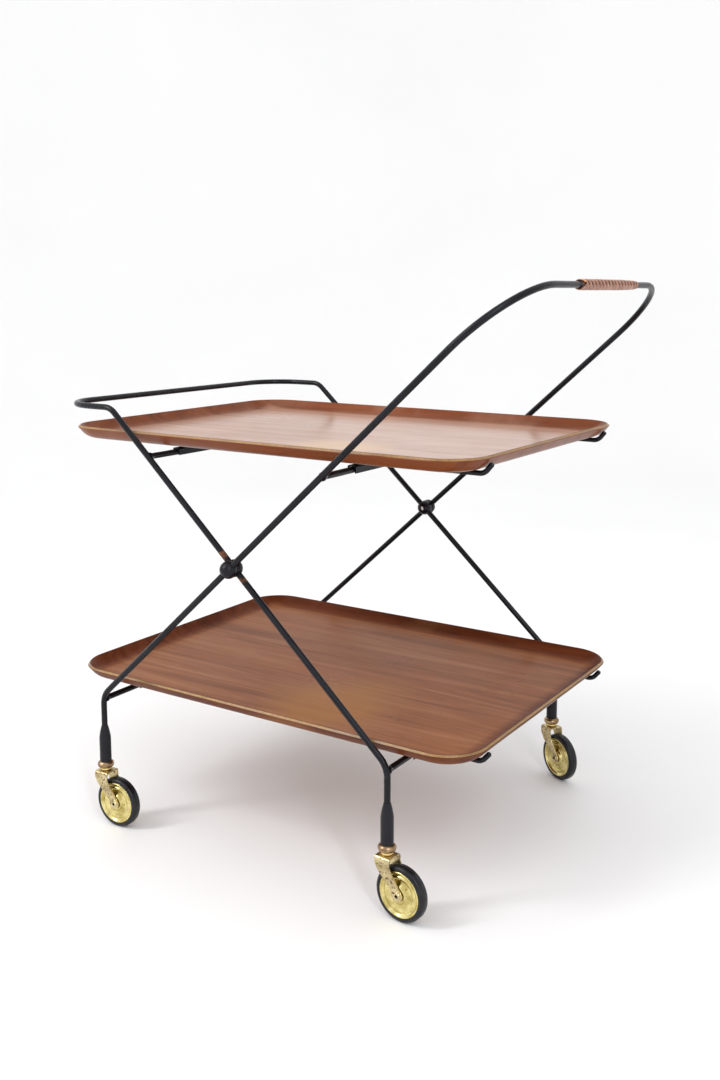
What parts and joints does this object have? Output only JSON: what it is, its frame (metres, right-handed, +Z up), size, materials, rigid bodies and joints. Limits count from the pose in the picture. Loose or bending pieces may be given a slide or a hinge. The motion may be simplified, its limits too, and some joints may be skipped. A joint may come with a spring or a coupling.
{
  "type": "folding bar cart",
  "caption": "Folding bar cart with crossed bent-rod frames, two lift-off plywood trays, a wrapped push handle and swivelling brass casters.",
  "frame": {"origin": "centre of the cart's box on the floor, under the scissor frame", "axes": "+Z up, +X towards the push handle, +Y to the right of a person pushing"},
  "size_m": [0.6528, 0.4868, 0.6972],
  "materials": {
    "enamel": "worn black stove enamel, satin",
    "teak_top": "lacquered teak veneer, faded, with golden ply edge",
    "teak_bottom": "lacquered teak veneer, deeper brown, with golden ply edge",
    "brass_disc": "polished pressed brass with light tarnish",
    "brass_fork": "tarnished stamped brass",
    "copper_collar": "aged coppery brass",
    "steel": "plain zinc-grey steel",
    "rubber": "matt black rubber",
    "cane": "wound tan lace, worn"
  },
  "bodies": {
    "handle_frame": {"handle_frame_rod": "enamel", "handle_frame_upper_crossbar": "enamel", "handle_frame_lower_crossbar": "enamel", "left_outer_pivot_ball": "enamel", "right_outer_pivot_ball": "enamel", "left_pivot_pin": "steel", "right_pivot_pin": "steel", "handle_grip_wrap": "cane", "front_left_leg_socket": "enamel", "front_left_swivel_collar": "copper_collar", "front_right_leg_socket": "enamel", "front_right_swivel_collar": "copper_collar"},
    "gallery_frame": {"gallery_frame_rod": "enamel", "gallery_frame_upper_crossbar": "enamel", "gallery_frame_lower_crossbar": "enamel", "left_inner_pivot_ball": "enamel", "right_inner_pivot_ball": "enamel", "rear_left_leg_socket": "enamel", "rear_left_swivel_collar": "copper_collar", "rear_right_leg_socket": "enamel", "rear_right_swivel_collar": "copper_collar"},
    "top_carrier": {"top_carrier_hinge_channel": "enamel", "top_carrier_rest_channel": "enamel", "top_carrier_left_wire": "enamel", "top_carrier_right_wire": "enamel"},
    "top_tray": {"top_tray": "teak_top"},
    "bottom_carrier": {"bottom_carrier_hinge_channel": "enamel", "bottom_carrier_rest_channel": "enamel", "bottom_carrier_left_wire": "enamel", "bottom_carrier_right_wire": "enamel"},
    "bottom_tray": {"bottom_tray": "teak_bottom"},
    "front_left_caster": {"front_left_swivel_stem": "steel", "front_left_grip_ring": "steel", "front_left_fork": "brass_fork", "front_left_axle": "brass_fork"},
    "front_left_wheel": {"front_left_wheel_bush": "steel", "front_left_wheel_discs": "brass_disc", "front_left_tyre": "rubber"},
    "front_right_caster": {"front_right_swivel_stem": "steel", "front_right_grip_ring": "steel", "front_right_fork": "brass_fork", "front_right_axle": "brass_fork"},
    "front_right_wheel": {"front_right_wheel_bush": "steel", "front_right_wheel_discs": "brass_disc", "front_right_tyre": "rubber"},
    "rear_left_caster": {"rear_left_swivel_stem": "steel", "rear_left_grip_ring": "steel", "rear_left_fork": "brass_fork", "rear_left_axle": "brass_fork"},
    "rear_left_wheel": {"rear_left_wheel_bush": "steel", "rear_left_wheel_discs": "brass_disc", "rear_left_tyre": "rubber"},
    "rear_right_caster": {"rear_right_swivel_stem": "steel", "rear_right_grip_ring": "steel", "rear_right_fork": "brass_fork", "rear_right_axle": "brass_fork"},
    "rear_right_wheel": {"rear_right_wheel_bush": "steel", "rear_right_wheel_discs": "brass_disc", "rear_right_tyre": "rubber"}
  },
  "joints": [
    {"name": "frame_fold", "type": "hinge", "parent": "handle_frame", "child": "gallery_frame", "pos_m": [-0.03682, 0, 0.3646], "axis": [0, 1, 0], "range_deg": [0, 50]},
    {"name": "top_carrier_swing", "type": "hinge", "parent": "gallery_frame", "child": "top_carrier", "pos_m": [-0.16837, 0, 0.48514], "axis": [0, 1, 0], "range_deg": [-62, 2]},
    {"name": "bottom_carrier_swing", "type": "hinge", "parent": "handle_frame", "child": "bottom_carrier", "pos_m": [-0.24677, 0, 0.16654], "axis": [0, 1, 0], "range_deg": [-18, 2]},
    {"name": "top_tray_lift", "type": "slide", "parent": "top_carrier", "child": "top_tray", "axis": [0, 0, 1], "range_m": [0, 0.02]},
    {"name": "bottom_tray_lift", "type": "slide", "parent": "bottom_carrier", "child": "bottom_tray", "axis": [0, 0, 1], "range_m": [0, 0.025]},
    {"name": "front_left_swivel", "type": "hinge", "parent": "handle_frame", "child": "front_left_caster", "pos_m": [-0.24782, -0.232, 0.08], "axis": [0, 0, 1], "continuous": true},
    {"name": "front_left_wheel_spin", "type": "hinge", "parent": "front_left_caster", "child": "front_left_wheel", "pos_m": [-0.22734, -0.23111, 0.032], "axis": [-0.0436, 0.999, 0], "continuous": true},
    {"name": "front_right_swivel", "type": "hinge", "parent": "handle_frame", "child": "front_right_caster", "pos_m": [-0.24782, 0.232, 0.08], "axis": [0, 0, 1], "continuous": true},
    {"name": "front_right_wheel_spin", "type": "hinge", "parent": "front_right_caster", "child": "front_right_wheel", "pos_m": [-0.22734, 0.23111, 0.032], "axis": [0.0436, 0.999, 0], "continuous": true},
    {"name": "rear_left_swivel", "type": "hinge", "parent": "gallery_frame", "child": "rear_left_caster", "pos_m": [0.17417, -0.222, 0.08], "axis": [0, 0, 1], "continuous": true},
    {"name": "rear_left_wheel_spin", "type": "hinge", "parent": "rear_left_caster", "child": "rear_left_wheel", "pos_m": [0.19458, -0.22396, 0.032], "axis": [0.0958, 0.9954, 0], "continuous": true},
    {"name": "rear_right_swivel", "type": "hinge", "parent": "gallery_frame", "child": "rear_right_caster", "pos_m": [0.17417, 0.222, 0.08], "axis": [0, 0, 1], "continuous": true},
    {"name": "rear_right_wheel_spin", "type": "hinge", "parent": "rear_right_caster", "child": "rear_right_wheel", "pos_m": [0.19228, 0.21238, 0.032], "axis": [0.4695, 0.8829, 0], "continuous": true}
  ],
  "couplings": [
    {"joint": "top_carrier_swing", "follows": "frame_fold", "ratio": -1.2},
    {"joint": "bottom_carrier_swing", "follows": "frame_fold", "ratio": -0.33}
  ]
}
